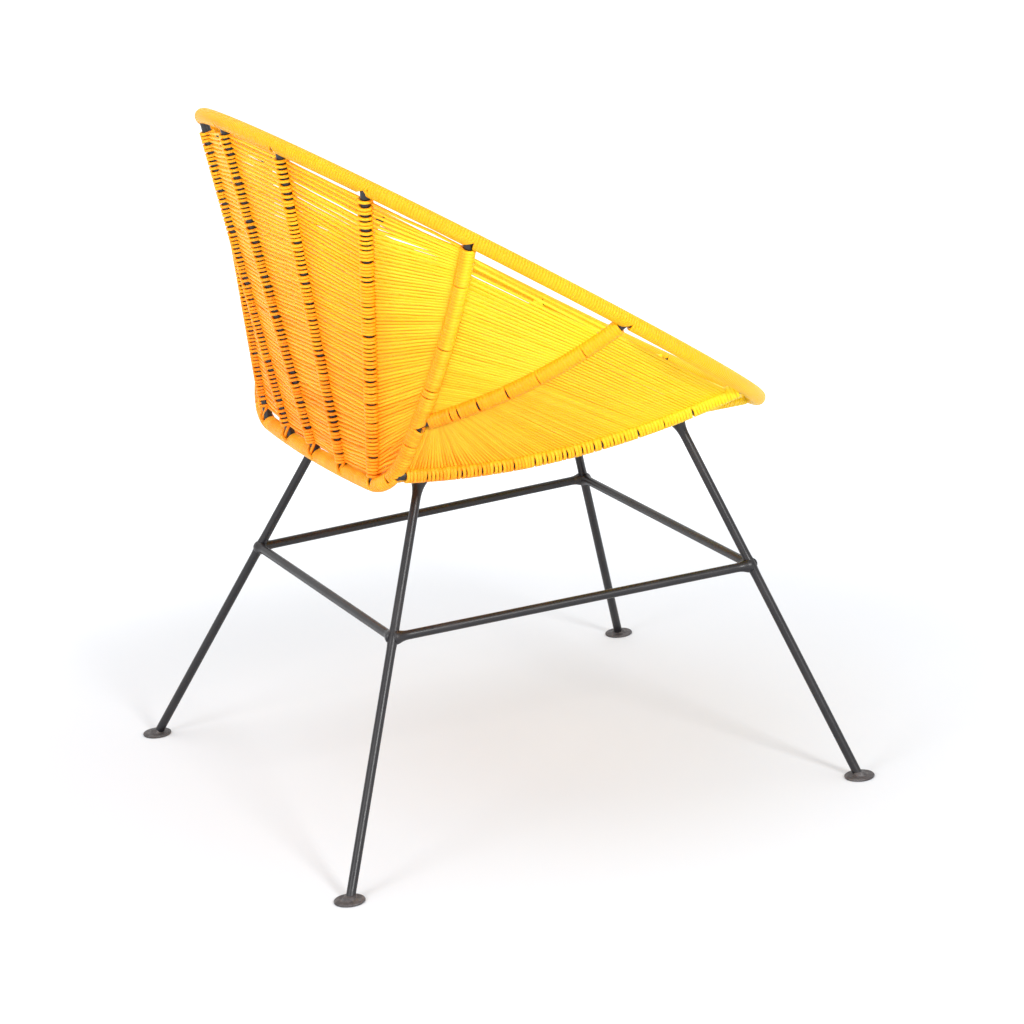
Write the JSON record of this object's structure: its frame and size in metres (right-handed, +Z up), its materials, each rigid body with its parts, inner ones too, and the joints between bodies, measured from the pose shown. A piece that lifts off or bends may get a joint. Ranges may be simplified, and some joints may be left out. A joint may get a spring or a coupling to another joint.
{
  "type": "acapulco chair",
  "caption": "Round lounge chair with a tilted rim, a bucket laced from plastic cord over bent steel ribs, and splayed rod legs joined by stretchers.",
  "frame": {"origin": "on the floor under the middle of the chair's own box", "axes": "+Z up, the chair faces -Y, +X is the sitter's left"},
  "size_m": [0.6894, 0.6335, 0.7682],
  "materials": {
    "black_frame": "satin black paint on round steel rod",
    "worn_glide": "dull worn steel discs, brownish grey",
    "yellow_cord": "glossy yellow plastic cord"
  },
  "bodies": {
    "root": {"rim_hoop": "black_frame", "back_hoop": "black_frame", "back_rib_1": "black_frame", "back_rib_2": "black_frame", "back_rib_3": "black_frame", "back_rib_4": "black_frame", "back_rib_5": "black_frame", "side_rib_left": "black_frame", "side_rib_right": "black_frame", "seat_rail_left": "black_frame", "seat_rail_right": "black_frame", "seat_bearer_left": "black_frame", "seat_bearer_right": "black_frame", "leg_rear_left": "black_frame", "leg_rear_right": "black_frame", "leg_front_left": "black_frame", "leg_front_right": "black_frame", "stretcher_rear": "black_frame", "stretcher_front": "black_frame", "stretcher_left": "black_frame", "stretcher_right": "black_frame", "glide_rear_left": "worn_glide", "glide_rear_right": "worn_glide", "glide_front_left": "worn_glide", "glide_front_right": "worn_glide", "rim_winding": "yellow_cord", "rear_rail_winding": "yellow_cord", "post_winding_left": "yellow_cord", "post_winding_right": "yellow_cord", "back_rib_winding_1": "yellow_cord", "back_rib_winding_2": "yellow_cord", "back_rib_winding_3": "yellow_cord", "back_rib_winding_4": "yellow_cord", "back_rib_winding_5": "yellow_cord", "side_rib_winding_left": "yellow_cord", "side_rib_winding_right": "yellow_cord", "seat_rail_winding_left": "yellow_cord", "seat_rail_winding_right": "yellow_cord", "seat_bearer_winding_left": "yellow_cord", "seat_bearer_winding_right": "yellow_cord", "back_lacing_1": "yellow_cord", "back_lacing_2": "yellow_cord", "back_lacing_3": "yellow_cord", "back_lacing_4": "yellow_cord", "back_lacing_5": "yellow_cord", "back_lacing_6": "yellow_cord", "wing_lacing_left": "yellow_cord", "wing_lacing_right": "yellow_cord", "flank_lacing_left": "yellow_cord", "flank_lacing_right": "yellow_cord", "seat_lacing_left": "yellow_cord", "seat_lacing_right": "yellow_cord", "seat_lacing_middle": "yellow_cord"}
  },
  "joints": []
}
